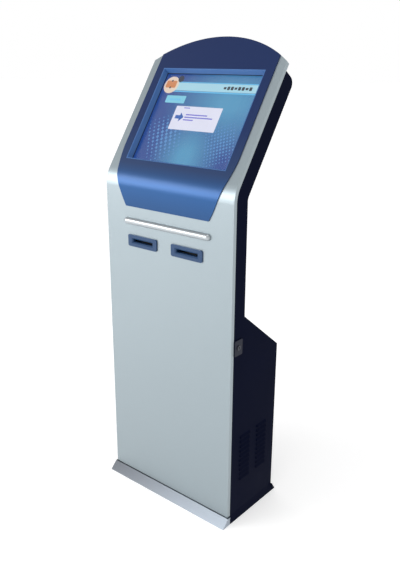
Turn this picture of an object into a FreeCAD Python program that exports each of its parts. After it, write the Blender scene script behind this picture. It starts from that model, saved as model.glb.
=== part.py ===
import FreeCAD, Part
import math
import os

V = FreeCAD.Vector
os.makedirs("parts", exist_ok=True)

# Ticket vending machine, sizes in mm.
# Everything is drawn with y = 0 on the front of the silver door and y growing
# to the rear; save() moves it so the origin lies under the middle of the plinth.

# Overall shape
width = 512.0            # across the sheet-metal sides
bend_z = 1083.0          # height of the corner between the upright and the head
lean = 34.0              # how far the head leans back from upright, degrees
bend_r = 90.0            # outer radius of the front bend
neck_depth = 64.0        # front of door to rear of neck and head
base_depth = 248.0       # front of door to rear of base
neck_foot_z = 709.0      # where the neck ends and the shoulder begins
shoulder_z = 561.0       # where the shoulder meets the rear of the base
head_top_s = 395.0       # top of the casing, measured up the leaning face
arch_top_s = 500.5       # crest of the arched door, measured up the face
arch_r = 437.5           # radius of the arch
kick_reach = 29.0        # kick plate ahead of the door at the floor
rear_flare = 19.0        # rear skirt behind the base at the floor
side_flare = 5.0         # kick plate and skirt beyond the sides
plinth_height = 26.0

# Sheet metal
sheet = 2.0
door_lip = 13.0          # depth of the folded edge round the door
door_gap = 0.5           # between the door lip and the side panels
door_bottom = plinth_height + 2.0
flange = 10.0            # width of the strip inside the front of each side panel

# Fascia, screen and trims
fascia_half = 227.0
fascia_foot_half = 167.5
fascia_foot_z = bend_z - 87.0
fascia_thick = 3.0
window_half = 195.0
window_low_s = 67.0
window_high_s = 385.0
surround_wall = 2.5
surround_taper = 5.5
bar_half = 175.0
bar_z = bend_z - 134.0
bar_r = 11.0
slot_z = bend_z - 196.5
slot_x = (-99.0, 84.0)
slot_wide = 84.0
slot_high = 10.0
bezel_wide = 123.0
bezel_high = 38.0
bezel_thick = 4.0

# Fits
run_fit = 0.05           # radial clearance of a turning shaft
slip_fit = 0.2           # clearance of a part dropped into a cut-out

# Printers
platen_r = 7.0
platen_y = 32.0
platen_teeth = 28
pinion_teeth = 14
gear_module = 1.0
gear_backlash = 0.35
printer_half = 45.0      # inside of the printer frame to its middle
plate = 2.0
roll_r = 20.0
spindle_r = 8.0
paper_gap = 0.4

half = width / 2
inner = half - sheet
front_y = -(base_depth + rear_flare - kick_reach) / 2
lean_rad = math.radians(lean)
bend_run = bend_r * math.tan(lean_rad / 2)
bend_low = bend_z - bend_run
rear_inner = neck_depth - sheet
base_inner = base_depth - sheet
side_front = door_lip + door_gap
arch_centre_s = arch_top_s - arch_r


def slab(x0, x1, y0, y1, z0, z1):
    """Box between two corners."""
    return Part.makeBox(x1 - x0, y1 - y0, z1 - z0, V(x0, y0, z0))


def join(shapes):
    """Fuse a list of shapes into one clean solid."""
    if len(shapes) == 1:
        return shapes[0]
    return shapes[0].multiFuse(shapes[1:]).removeSplitter()


def rod(r, x0, x1, y, z):
    """Cylinder lying along x."""
    return Part.makeCylinder(r, x1 - x0, V(x0, y, z), V(1, 0, 0))


def post(r, x, y, z0, z1):
    """Upright cylinder."""
    return Part.makeCylinder(r, z1 - z0, V(x, y, z0), V(0, 0, 1))


def bolt(r, x, z, y0, y1):
    """Cylinder lying along y."""
    return Part.makeCylinder(r, y1 - y0, V(x, y0, z), V(0, 1, 0))


def prism_x(points, x0, x1):
    """Extrude a closed outline of (y, z) corners along x."""
    corners = [V(x0, y, z) for y, z in points]
    face = Part.Face(Part.makePolygon(corners + corners[:1]))
    return face.extrude(V(x1 - x0, 0, 0))


def on_face(x, s, t):
    """Point on the leaning head: s up the face, t behind it."""
    y = s * math.sin(lean_rad) + t * math.cos(lean_rad)
    z = bend_z + s * math.cos(lean_rad) - t * math.sin(lean_rad)
    return V(x, y, z)


def tilt(shape):
    """Place a shape drawn flat (x across, y up the face, z outward) on the head."""
    shape = shape.copy()
    shape.rotate(V(0, 0, 0), V(1, 0, 0), 90 - lean)
    shape.translate(V(0, 0, bend_z))
    return shape


def upright(shape):
    """Place a shape drawn flat (x across, y up, z outward) on the upright front."""
    shape = shape.copy()
    shape.rotate(V(0, 0, 0), V(1, 0, 0), 90)
    return shape


def head_slab(x0, x1, s0, s1, t0, t1):
    """Box aligned with the leaning head."""
    return tilt(slab(x0, x1, s0, s1, -t1, -t0))


def bend_point(x, t, angle):
    """Point on the bend at depth t, angle measured up from level."""
    r = bend_r - t
    return V(x, bend_r - r * math.cos(angle), bend_low + r * math.sin(angle))


def bent_edges(x, t, z0, s1):
    """Upright line, bend and leaning line at depth t, from z0 up to s1."""
    start = bend_point(x, t, 0)
    end = bend_point(x, t, lean_rad)
    line = Part.makeLine(V(x, t, z0), start)
    arc = Part.Arc(start, bend_point(x, t, lean_rad / 2), end).toShape()
    lean_line = Part.makeLine(end, on_face(x, s1, t))
    return [line, arc, lean_line]


def band(t0, t1, x0, x1, z0, s1):
    """Bent slab between two depths that follows the front round the bend."""
    edges = bent_edges(x0, t0, z0, s1) + bent_edges(x0, t1, z0, s1)
    edges.append(Part.makeLine(V(x0, t0, z0), V(x0, t1, z0)))
    edges.append(Part.makeLine(on_face(x0, s1, t0), on_face(x0, s1, t1)))
    wire = Part.Wire(Part.__sortEdges__(edges))
    return Part.Face(wire).extrude(V(x1 - x0, 0, 0))


def tapered(half_a, low_a, high_a, z_a, half_b, low_b, high_b, z_b):
    """Four-sided tapered block between two rectangles drawn flat."""
    wires = []
    for w, low, high, z in ((half_a, low_a, high_a, z_a), (half_b, low_b, high_b, z_b)):
        ring = [V(-w, low, z), V(w, low, z), V(w, high, z), V(-w, high, z)]
        wires.append(Part.makePolygon(ring + ring[:1]))
    return Part.makeLoft(wires, True, True)


def rounded(shape, radius, direction):
    """Round the edges of a box that run along a direction."""
    edges = []
    for edge in shape.Edges:
        run = edge.Vertexes[1].Point - edge.Vertexes[0].Point
        run.normalize()
        if abs(run.dot(direction)) > 0.99:
            edges.append(edge)
    return shape.makeFillet(radius, edges)


def gear(teeth, thick, turn):
    """Spur gear drawn flat round the z axis."""
    pressure = math.radians(20)
    pitch_r = teeth * gear_module / 2
    base_r = pitch_r * math.cos(pressure)
    tip_r = pitch_r + 0.8 * gear_module
    root_r = pitch_r - 1.2 * gear_module
    tooth_half = math.pi / (2 * teeth) - gear_backlash / (2 * pitch_r)
    start_r = max(base_r, root_r)
    flank = []
    for i in range(5):
        r = start_r + (tip_r - start_r) * i / 4
        roll = math.acos(min(1.0, base_r / r))
        spread = math.tan(pressure) - pressure - math.tan(roll) + roll
        flank.append((r, tooth_half + spread))
    if root_r < start_r:
        flank.insert(0, (root_r, flank[0][1]))
    points = []
    for i in range(teeth):
        centre = 2 * math.pi * i / teeth + turn
        outline = [(r, -a) for r, a in flank] + [(r, a) for r, a in reversed(flank)]
        for r, a in outline:
            points.append(V(r * math.cos(centre + a), r * math.sin(centre + a), 0))
    face = Part.Face(Part.makePolygon(points + points[:1]))
    return face.extrude(V(0, 0, thick))


def gear_x(teeth, x0, x1, y, z, turn):
    """Spur gear on a shaft along x; turn = 0 points a tooth straight down."""
    shape = gear(teeth, x1 - x0, turn)
    shape.rotate(V(0, 0, 0), V(0, 1, 0), 90)
    shape.translate(V(x0, y, z))
    return shape


def save(node, shape):
    """Move a finished piece into the shared frame and write it."""
    out = shape.copy()
    out.translate(V(0, front_y, 0))
    out.exportStep("parts/" + node + ".step")


# Front door: a flat lower sheet and a bent upper sheet, butt-welded at the foot of
# the bend and dressed flush, with edge strips welded behind them on both sides,
# along the bottom and under the arched crest. The block above the arch trims
# everything that rises past the crest.
above_arch = slab(-2 * half, 2 * half, arch_centre_s + 150, arch_top_s + 300, -60, 60)
above_arch = tilt(above_arch.cut(Part.makeCylinder(arch_r, 140, V(0, arch_centre_s, -70))))
body_half = window_half + surround_wall
body_low = window_low_s - surround_wall
body_high = window_high_s + surround_wall
hole_half = body_half + slip_fit
window_hole = head_slab(-hole_half, hole_half, body_low - slip_fit, body_high + slip_fit, -20, 20)
lower_skin = slab(-half, half, 0, sheet, door_bottom, bend_low)
upper_skin = band(0, sheet, -half, half, bend_low - 0.01, arch_top_s + 5)
upper_skin = upper_skin.cut(slab(-2 * half, 2 * half, -5, 20, 0, bend_low))
upper_skin = upper_skin.cut(above_arch).cut(window_hole)
tube_half = slot_wide / 2 + surround_wall
tube_high = slot_high / 2 + surround_wall
for x in slot_x:
    cut_half = tube_half + slip_fit
    cut_high = tube_high + slip_fit
    hole = slab(x - cut_half, x + cut_half, -5, 5, slot_z - cut_high, slot_z + cut_high)
    lower_skin = lower_skin.cut(hole)
crest = Part.makeCylinder(arch_r, door_lip - sheet, V(0, arch_centre_s, -door_lip))
crest = crest.cut(Part.makeCylinder(arch_r - sheet, 80, V(0, arch_centre_s, -40)))
crest = crest.common(slab(-inner, inner, arch_centre_s + 200, arch_top_s + 20, -60, 60))
strips = [
    band(sheet, door_lip, -half, -inner, door_bottom, arch_top_s).cut(above_arch),
    band(sheet, door_lip, inner, half, door_bottom, arch_top_s).cut(above_arch),
    slab(-inner, inner, sheet, door_lip, door_bottom, door_bottom + sheet),
    tilt(crest),
]
save("front_door", Part.makeCompound([lower_skin, upper_skin] + strips))

# Fascia: blue sheet over the upper door, narrowing in a soft curve to its foot.
side_top = bend_z + 97.0
curve = Part.BezierCurve()
curve.setPoles([
    V(fascia_foot_half, 0, fascia_foot_z),
    V(fascia_foot_half + 24.0, 0, fascia_foot_z + 40.0),
    V(fascia_half, 0, bend_z + 37.0),
    V(fascia_half, 0, side_top),
])
right_edge = curve.toShape()
left_edge = right_edge.mirror(V(0, 0, 0), V(1, 0, 0))
far_z = bend_z + arch_top_s
fascia_edges = [
    right_edge,
    left_edge,
    Part.makeLine(V(-fascia_foot_half, 0, fascia_foot_z), V(fascia_foot_half, 0, fascia_foot_z)),
    Part.makeLine(V(fascia_half, 0, side_top), V(fascia_half, 0, far_z)),
    Part.makeLine(V(-fascia_half, 0, side_top), V(-fascia_half, 0, far_z)),
    Part.makeLine(V(-fascia_half, 0, far_z), V(fascia_half, 0, far_z)),
]
outline = Part.Face(Part.Wire(Part.__sortEdges__(fascia_edges)))
outline.translate(V(0, -50, 0))
outline = outline.extrude(V(0, 600, 0))
fascia = band(-fascia_thick, 0, -half, half, fascia_foot_z, arch_top_s + 5)
fascia = fascia.cut(above_arch).common(outline).cut(window_hole)
save("fascia", fascia)

# Screen surround: moulded frame let through the door, with a flange behind it.
surround = slab(-body_half, body_half, body_low, body_high, -door_lip, fascia_thick)
back_half = window_half + 17.0
surround = surround.fuse(slab(
    -back_half, back_half, window_low_s - 17.0, window_high_s + 17.0, -sheet - 2.5, -sheet))
funnel_top = fascia_thick + 0.001
surround = surround.cut(tapered(
    window_half, window_low_s, window_high_s, funnel_top,
    window_half - surround_taper, window_low_s + surround_taper,
    window_high_s - surround_taper, -door_lip - 0.001))
save("screen_surround", tilt(surround))

# Half-round bar with rounded ends across the front under the fascia.
bar = rod(bar_r, -bar_half + bar_r, bar_half - bar_r, 0, bar_z)
for x in (-bar_half + bar_r, bar_half - bar_r):
    bar = bar.fuse(Part.makeSphere(bar_r, V(x, 0, bar_z)))
bar = bar.cut(slab(-half, half, 0, 40, bar_z - 40, bar_z + 40)).removeSplitter()
save("front_bar", bar)

# Ticket outlets: moulded bezels, each with a tube that passes through the door.
for side, x in zip(("left", "right"), slot_x):
    face_plate = slab(
        x - bezel_wide / 2, x + bezel_wide / 2, -bezel_thick, 0,
        slot_z - bezel_high / 2, slot_z + bezel_high / 2)
    face_plate = rounded(face_plate, 6.0, V(0, 1, 0))
    tube = slab(
        x - tube_half, x + tube_half, -1, door_lip - 1,
        slot_z - tube_high, slot_z + tube_high)
    passage = slab(
        x - slot_wide / 2, x + slot_wide / 2, -10, 20,
        slot_z - slot_high / 2, slot_z + slot_high / 2)
    mouth = upright(tapered(
        slot_wide / 2 + 4, slot_z - slot_high / 2 - 4, slot_z + slot_high / 2 + 4, bezel_thick,
        slot_wide / 2, slot_z - slot_high / 2, slot_z + slot_high / 2, 0.5))
    mouth.translate(V(x, 0, 0))
    bezel = face_plate.fuse(tube).removeSplitter().cut(passage).cut(mouth)
    save("ticket_bezel_" + side, bezel)

# Side lock on the right panel, cam and the keeper it holds on the door. Unlocked,
# the cam points forward; a quarter turn drops it in front of the keeper's hook.
lock_y = 34.0
lock_z = bend_z - 465.0
plug_r = 8.0
barrel_r = 11.0
cam_long = 24.0
cam_half = 6.0
cam_x0 = inner - 22.0
cam_x1 = inner - 19.0
keeper_y = lock_y + cam_half + 2.0
keeper_z0 = lock_z - cam_long - 9.0
keeper_z1 = lock_z - barrel_r - 3.0
keeper = join([
    slab(inner - 50, inner - 26, sheet, sheet + 3, keeper_z0 - 6, keeper_z1 + 4),
    slab(inner - 29, inner - 26, sheet, keeper_y + 3, keeper_z0, keeper_z1),
    slab(inner - 29, inner - 15, keeper_y, keeper_y + 3, keeper_z0, keeper_z1),
])
save("door_keeper", keeper)

housing = rounded(slab(half, half + 3, lock_y - 19, lock_y + 19, lock_z - 25, lock_z + 25), 4, V(1, 0, 0))
housing = housing.fuse(rod(barrel_r, cam_x1 + 0.5, half + 1, lock_y, lock_z)).removeSplitter()
housing = housing.cut(rod(plug_r + run_fit, cam_x1 - 5, half + 9, lock_y, lock_z))
save("lock_housing", housing)
nut = rod(barrel_r + 5, inner - 6, inner, lock_y, lock_z)
nut = nut.cut(rod(barrel_r, inner - 20, inner + 5, lock_y, lock_z))
save("lock_nut", nut)
plug = rod(plug_r, cam_x1, half + 5, lock_y, lock_z)
plug = plug.cut(slab(half + 1.5, half + 9, lock_y - 1.2, lock_y + 1.2, lock_z - 4.5, lock_z + 4.5))
save("lock_plug", plug)
cam = slab(cam_x0, cam_x1, lock_y - cam_long + cam_half, lock_y, lock_z - cam_half, lock_z + cam_half)
cam = join([
    cam,
    rod(plug_r + 1.5, cam_x0, cam_x1, lock_y, lock_z),
    rod(cam_half, cam_x0, cam_x1, lock_y - cam_long + cam_half, lock_z),
])
save("lock_cam", cam)

# Barrel hinges on the left edge: the lower knuckle and pin stay with the cabinet.
pin_r = 2.0
knuckle_r = 5.0
knuckle_long = 24.0
hinge_x = -half - knuckle_r - 0.5
hinge_y = door_lip + door_gap / 2
hinge_heights = (door_bottom + 110.0, bend_z / 2 + 20.0, bend_low - 90.0)
door_leaves = []
cabinet_leaves = []
pins = []
for z in hinge_heights:
    top = z + knuckle_long
    leaf = slab(-half - sheet, -half, 1.0, hinge_y - 1.25, z + 0.3, top)
    arm = slab(hinge_x, -half, hinge_y - 5.0, hinge_y - 3.0, z + 0.3, top)
    sleeve = post(knuckle_r, hinge_x, hinge_y, z + 0.3, top)
    moving = join([leaf, arm, sleeve])
    door_leaves.append(moving.cut(post(pin_r + run_fit, hinge_x, hinge_y, z - 5, top + 5)))
    leaf = slab(-half - sheet, -half, hinge_y + 1.25, hinge_y + 27, z - knuckle_long, z)
    arm = slab(hinge_x, -half, hinge_y + 3.0, hinge_y + 5.0, z - knuckle_long, z)
    sleeve = post(knuckle_r, hinge_x, hinge_y, z - knuckle_long, z)
    fixed = join([leaf, arm, sleeve])
    cabinet_leaves.append(fixed.cut(post(pin_r, hinge_x, hinge_y, z - 40, z + 5)))
    pin = post(pin_r, hinge_x, hinge_y, z - knuckle_long, top + 0.3)
    pins.append(pin.fuse(post(knuckle_r - 1, hinge_x, hinge_y, top + 0.3, top + 2.3)).removeSplitter())
save("hinge_leaves_door", Part.makeCompound(door_leaves))
save("hinge_leaves_cabinet", Part.makeCompound(cabinet_leaves))
save("hinge_pins", Part.makeCompound(pins))

# Side panels: navy sheet cut to the cabinet outline, with two columns of pressed
# louvres low down and a stiffening strip welded inside the front edge.
corner_r = 22.0
rear_arc = Part.Arc(
    on_face(0, head_top_s, neck_depth - corner_r),
    on_face(
        0,
        head_top_s - corner_r + corner_r * math.sin(math.pi / 4),
        neck_depth - corner_r + corner_r * math.sin(math.pi / 4)),
    on_face(0, head_top_s - corner_r, neck_depth)).toShape()
profile = bent_edges(0, side_front, 0, head_top_s)
profile += bent_edges(0, neck_depth, neck_foot_z, head_top_s - corner_r)
profile += [
    Part.makeLine(on_face(0, head_top_s, side_front), on_face(0, head_top_s, neck_depth - corner_r)),
    rear_arc,
    Part.makeLine(V(0, neck_depth, neck_foot_z), V(0, base_depth, shoulder_z)),
    Part.makeLine(V(0, base_depth, shoulder_z), V(0, base_depth, 0)),
    Part.makeLine(V(0, base_depth, 0), V(0, side_front, 0)),
]
panel = Part.Face(Part.Wire(Part.__sortEdges__(profile)))
panel.translate(V(inner, 0, 0))
panel = panel.extrude(V(sheet, 0, 0))
stiffener = band(side_front, side_front + sheet, inner - flange, inner, 32, head_top_s - sheet)
louvre_long = 50.0
louvre_rise = 10.0
louvre_out = 4.0
louvre_pitch = 17.0
louvre_count = 10
hoods = []
slots = []
for y in (base_depth * 0.235, base_depth * 0.6):
    for i in range(louvre_count):
        z = 152.0 + louvre_pitch * i
        hood = [V(half, y, z), V(half + louvre_out, y, z - louvre_rise), V(half, y, z - louvre_rise)]
        hood = Part.Face(Part.makePolygon(hood + hood[:1]))
        hoods.append(hood.extrude(V(0, louvre_long, 0)))
        under = [
            V(inner - 1, y + 1, z - 2.8), V(half, y + 1, z - 2.8),
            V(half + louvre_out - 1.1, y + 1, z - louvre_rise - 0.1),
            V(inner - 1, y + 1, z - louvre_rise - 0.1)]
        under = Part.Face(Part.makePolygon(under + under[:1]))
        slots.append(under.extrude(V(0, louvre_long - 2, 0)))
panel = panel.multiFuse(hoods).removeSplitter().cut(Part.makeCompound(slots))
left = [shape.mirror(V(0, 0, 0), V(1, 0, 0)) for shape in (panel, stiffener)]
save("side_panel_left", Part.makeCompound(left))
panel = panel.cut(rod(barrel_r, inner - 5, half + 5, lock_y, lock_z))
save("side_panel_right", Part.makeCompound([panel, stiffener]))

# Rear sheets of neck, shoulder and base, then the top and rear cover of the head.
cover_low_s = 70.0
cover_high_s = 340.0
save("neck_back", band(rear_inner, neck_depth, -inner, inner, neck_foot_z, cover_low_s))
fall = (neck_foot_z - shoulder_z) / (base_depth - neck_depth)
under_skin = sheet * math.sqrt(1 + fall * fall)
save("shoulder", prism_x([
    (neck_depth, neck_foot_z), (base_depth, shoulder_z), (base_inner, shoulder_z),
    (rear_inner, neck_foot_z + sheet * fall - under_skin), (rear_inner, neck_foot_z),
], -inner, inner))

top_edges = []
for step in (0, sheet):
    s = head_top_s - step
    t = neck_depth - step
    r = corner_r - step
    mid = r * math.sin(math.pi / 4)
    centre_s = head_top_s - corner_r
    centre_t = neck_depth - corner_r
    top_edges.append(Part.makeLine(on_face(-inner, s, side_front), on_face(-inner, s, centre_t)))
    top_edges.append(Part.Arc(
        on_face(-inner, s, centre_t), on_face(-inner, centre_s + mid, centre_t + mid),
        on_face(-inner, centre_s, t)).toShape())
    top_edges.append(Part.makeLine(on_face(-inner, centre_s, t), on_face(-inner, cover_high_s, t)))
top_edges.append(Part.makeLine(
    on_face(-inner, head_top_s, side_front), on_face(-inner, head_top_s - sheet, side_front)))
top_edges.append(Part.makeLine(
    on_face(-inner, cover_high_s, neck_depth), on_face(-inner, cover_high_s, rear_inner)))
top_face = Part.Face(Part.Wire(Part.__sortEdges__(top_edges)))
save("head_top", top_face.extrude(V(2 * inner, 0, 0)))

vent = 3.5
screw_r = 2.0
cover = head_slab(-inner, inner, cover_low_s, cover_high_s, rear_inner, neck_depth)
vents = []
for row in range(9):
    s = cover_high_s - 60 + row * 5.5
    for x in (-90.0, 90.0):
        vents.append(head_slab(x - 60, x + 60, s, s + vent, rear_inner - 5, neck_depth + 5))
screws = []
for x in (-inner + 14, 0, inner - 14):
    for s in (cover_low_s + 10, cover_high_s - 10):
        shank = Part.makeCylinder(screw_r, 6, V(x, s, -neck_depth))
        cap = Part.makeCylinder(screw_r * 2, 1.6, V(x, s, -neck_depth - 1.6))
        screws.append(tilt(shank.fuse(cap).removeSplitter()))
        vents.append(tilt(Part.makeCylinder(screw_r, 40, V(x, s, -neck_depth - 20))))
save("head_back_cover", cover.cut(Part.makeCompound(vents)))
save("cover_screws", Part.makeCompound(screws))

# Rear of the base, with a ventilated patch for the fan and a cut-out for the inlet.
fan_x = 110.0
fan_z = 400.0
fan_half = 60.0
inlet_x = -150.0
inlet_z = 92.0
inlet_half = 24.0
inlet_high = 13.0
base_back = slab(-inner, inner, base_inner, base_depth, 0, shoulder_z)
holes = [slab(
    inlet_x - inlet_half, inlet_x + inlet_half, base_inner - 5, base_depth + 5,
    inlet_z - inlet_high, inlet_z + inlet_high)]
for row in range(12):
    z = fan_z - 46 + row * 8
    holes.append(slab(fan_x - 45, fan_x + 45, base_inner - 5, base_depth + 5, z, z + vent))
save("base_back", base_back.cut(Part.makeCompound(holes)))

# Base tray that stands on the floor, with anchor holes, foot holes and cable entry.
tray_front = 8.0
tray_wall = 30.0
anchor_x = 170.0
anchor_y = 75.0
anchor_r = 6.0
foot_x = half - 34.0
foot_ys = (40.0, base_depth - 48.0)
foot_hole_r = 18.0
entry_x = 60.0
entry_y = -front_y + 40.0
entry_r = 14.0
entry_wall = 3.0
tray = join([
    slab(-inner, inner, tray_front, base_inner, 0, 3),
    slab(-inner, inner, tray_front, tray_front + sheet, 0, plinth_height - sheet),
    slab(-inner, -inner + sheet, side_front + sheet, base_inner, 0, tray_wall),
    slab(inner - sheet, inner, side_front + sheet, base_inner, 0, tray_wall),
    slab(-inner, inner, base_inner - sheet, base_inner, 0, tray_wall),
])
drills = [post(entry_r + entry_wall, entry_x, entry_y, -5, 10)]
for sx in (-1, 1):
    for sy in (-1, 1):
        drills.append(post(anchor_r, sx * anchor_x, -front_y + sy * anchor_y, -5, 10))
    for y in foot_ys:
        drills.append(post(foot_hole_r, sx * foot_x, y, -5, 10))
save("base_tray", tray.cut(Part.makeCompound(drills)))
grommet = post(entry_r + entry_wall, entry_x, entry_y, 0, 3)
grommet = grommet.fuse(post(entry_r + entry_wall + 5, entry_x, entry_y, 3, 9)).removeSplitter()
save("cable_grommet", grommet.cut(post(entry_r, entry_x, entry_y, -5, 20)))

# Levelling feet in bridge brackets over the foot holes.
stud_r = 5.0
bridge_top = 26.0
bridges = []
foot_names = ("front_left", "rear_left", "front_right", "rear_right")
places = [(sx * foot_x, y) for sx in (-1, 1) for y in foot_ys]
for name, (x, y) in zip(foot_names, places):
    bridge = slab(x - 30, x + 30, y - 24, y + 24, 3, bridge_top)
    bridge = bridge.cut(slab(x - 22, x + 22, y - 30, y + 30, 3, bridge_top - 6))
    bridges.append(bridge.cut(post(stud_r + run_fit, x, y, 0, 40)))
    head = [V(x + 8 * math.cos(math.pi * k / 3), y + 8 * math.sin(math.pi * k / 3), 46) for k in range(6)]
    head = Part.Face(Part.makePolygon(head + head[:1])).extrude(V(0, 0, 6))
    save("foot_" + name, join([post(15, x, y, 1, 7), post(stud_r, x, y, 7, 46), head]))
save("foot_bridges", Part.makeCompound(bridges))

# Plinth: flared silver kick plate in front, navy skirt along sides and rear.
kick_half = half + side_flare
kick_top = 3.0
kick = prism_x([
    (-kick_reach, 0), (-kick_top, plinth_height), (tray_front + sheet, plinth_height),
    (tray_front + sheet, plinth_height - sheet), (-kick_top + 0.8, plinth_height - sheet),
    (-kick_reach + 3, 0),
], -kick_half, kick_half)
cap = [(-kick_reach, 0), (-kick_top, plinth_height), (tray_front, plinth_height), (tray_front, 0)]
ends = [prism_x(cap, -kick_half, -kick_half + sheet), prism_x(cap, kick_half - sheet, kick_half)]
save("kick_plate", join([kick] + ends))
skirt_rise = plinth_height + 2
skirt_back = base_depth + rear_flare
skirt = [prism_x([
    (skirt_back, 0), (base_depth, skirt_rise), (base_depth, skirt_rise - 3.5), (skirt_back - 2.5, 0),
], -kick_half, kick_half)]
for sign in (-1, 1):
    wedge = [
        V(sign * half, tray_front + 3, 0), V(sign * kick_half, tray_front + 3, 0),
        V(sign * half, tray_front + 3, skirt_rise)]
    wedge = Part.Face(Part.makePolygon(wedge + wedge[:1]))
    skirt.append(wedge.extrude(V(0, base_depth - tray_front - 3, 0)))
    end = prism_x(
        [(base_depth, 0), (skirt_back, 0), (base_depth, skirt_rise)],
        min(sign * half, sign * kick_half), max(sign * half, sign * kick_half))
    skirt.append(end)
save("plinth_skirt", join(skirt))

# Display: steel tray with the LCD and a touch glass on its front, on two brackets.
glass_front = door_lip + 2.0
glass_thick = 3.0
screen_mid = (window_low_s + window_high_s) / 2
screen_half = window_half + 5.0
tray_low = screen_mid - 163.0
tray_high = screen_mid + 163.0
lcd_front = glass_front + glass_thick
tray_back = neck_depth - 14.0
save("touch_glass", head_slab(-screen_half, screen_half, tray_low, tray_high, glass_front, lcd_front))
chassis = head_slab(-screen_half, screen_half, tray_low, tray_high, lcd_front, tray_back)
chassis = chassis.cut(head_slab(
    -screen_half + 2, screen_half - 2, tray_low + 2, tray_high - 2, lcd_front, tray_back - 2))
save("display_tray", chassis)
lcd_thick = 10.0
save("lcd_panel", head_slab(
    -screen_half + 2, screen_half - 2, tray_low + 2, tray_high - 2, lcd_front, lcd_front + lcd_thick))
rails = []
for sign in (-1, 1):
    x0, x1 = sorted((sign * screen_half, sign * inner))
    flat = head_slab(x0, x1, tray_low + 30, tray_high - 30, tray_back - sheet, tray_back)
    x0, x1 = sorted((sign * (inner - sheet), sign * inner))
    turned = head_slab(x0, x1, tray_low + 30, tray_high - 30, lcd_front + 6, tray_back)
    rails.append(flat.fuse(turned).removeSplitter())
save("display_brackets", Part.makeCompound(rails))

# Two ticket printers behind the outlets, hung on a rail across the neck.
platen_z = slot_z - platen_r
pinion_z = platen_z - (platen_teeth + pinion_teeth) * gear_module / 2
roll_y = 38.0
roll_z = pinion_z - 36.5
frame_low = roll_z - 22.0
frame_high = slot_z + 28.0
frame_back = rear_inner - 4.0
shaft_r = 3.0
motor_half = 12.5
rail_z = slot_z - 16.0
save("printer_rail", slab(-inner, inner, rear_inner - 2, rear_inner, rail_z, rail_z + 22))
for side, x in zip(("left", "right"), slot_x):
    cheek_in = printer_half
    cheek_out = printer_half + plate
    frame = [
        slab(x - cheek_out, x - cheek_in, 18, frame_back + plate, frame_low, frame_high),
        slab(x + cheek_in, x + cheek_out, 18, frame_back + plate, frame_low, frame_high),
        slab(x - cheek_out, x + cheek_out, frame_back, frame_back + plate, frame_low + 45, frame_high),
    ]
    frame = join(frame).cut(rod(shaft_r + run_fit, x - 60, x + 60, platen_y, platen_z))
    frame = frame.cut(rod(5, x + cheek_in - 1, x + 60, platen_y, pinion_z))
    save("printer_frame_" + side, frame)
    head = join([
        slab(x - 41, x + 41, platen_y - 9, platen_y + 11, slot_z + paper_gap, slot_z + 8),
        slab(x - cheek_in, x + cheek_in, platen_y - 2, platen_y + 8, slot_z + 8, slot_z + 12),
    ])
    fins = [
        slab(x - 38, x + 38, platen_y - 8 + 5 * k, platen_y - 6 + 5 * k, slot_z + 12, slot_z + 22)
        for k in range(2, 4)]
    save("print_head_" + side, join([head] + fins))
    roller = join([
        rod(platen_r, x - 41, x + 41, platen_y, platen_z),
        rod(shaft_r, x - cheek_out - 4, x + cheek_out + 8, platen_y, platen_z),
    ])
    save("platen_roller_" + side, roller)
    wheel = gear_x(platen_teeth, x + cheek_out + 2, x + cheek_out + 7, platen_y, platen_z, 0)
    wheel = wheel.cut(rod(shaft_r, x, x + 99, platen_y, platen_z))
    save("platen_gear_" + side, wheel)
    motor = slab(
        x + cheek_in - 28, x + cheek_in, platen_y - motor_half, platen_y + motor_half,
        pinion_z - motor_half, pinion_z + motor_half)
    motor = rounded(motor, 3, V(1, 0, 0))
    motor = motor.fuse(rod(4.5, x + cheek_in - 1, x + cheek_out, platen_y, pinion_z)).removeSplitter()
    motor = motor.cut(rod(2.5 + run_fit, x + cheek_in - 10, x + 60, platen_y, pinion_z))
    save("feed_motor_" + side, motor)
    pinion = gear_x(
        pinion_teeth, x + cheek_out + 1.5, x + cheek_out + 7.5, platen_y, pinion_z,
        math.pi / pinion_teeth)
    pinion = pinion.fuse(rod(2.5, x + cheek_in - 9.5, x + cheek_out + 1.5, platen_y, pinion_z))
    save("motor_pinion_" + side, pinion.removeSplitter())
    save("roll_spindle_" + side, rod(spindle_r, x - cheek_in, x + cheek_in, roll_y, roll_z))
    roll = rod(roll_r, x - 40, x + 40, roll_y, roll_z)
    save("paper_roll_" + side, roll.cut(rod(spindle_r + 0.1, x - 50, x + 50, roll_y, roll_z)))

# Computer and power supply on a shelf in the base.
shelf_z = 150.0
shelf_front = 50.0
shelf = join([
    slab(-inner, inner, shelf_front, base_inner - 6, shelf_z, shelf_z + sheet),
    slab(-inner, -inner + sheet, shelf_front, base_inner - 6, shelf_z, shelf_z + 24),
    slab(inner - sheet, inner, shelf_front, base_inner - 6, shelf_z, shelf_z + 24),
    slab(-inner, inner, shelf_front, shelf_front + sheet, shelf_z - 14, shelf_z),
])
save("equipment_shelf", shelf)
deck = shelf_z + sheet
pc_front = shelf_front + 22.0
case = slab(-226, -16, pc_front, base_inner - 24, deck, deck + 70)
case = case.cut(slab(-224.5, -17.5, pc_front + 1.5, base_inner - 25.5, deck + 1.5, deck + 68.5))
button_x = -40.0
button_z = deck + 45.0
button_r = 5.0
collar = bolt(button_r + 3, button_x, button_z, pc_front + 1, pc_front + 14)
collar = collar.cut(bolt(button_r + 0.1, button_x, button_z, pc_front - 5, pc_front + 11))
case = case.cut(bolt(button_r + 0.1, button_x, button_z, pc_front - 5, pc_front + 5)).fuse(collar)
save("computer_case", case.removeSplitter())
save("power_button", bolt(button_r, button_x, button_z, pc_front - 3, pc_front + 7))
supply = slab(40, 200, pc_front, base_inner - 24, deck, deck + 56)
supply = supply.cut(slab(41.5, 198.5, pc_front + 1.5, base_inner - 25.5, deck + 1.5, deck + 54.5))
save("power_supply", supply)

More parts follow.
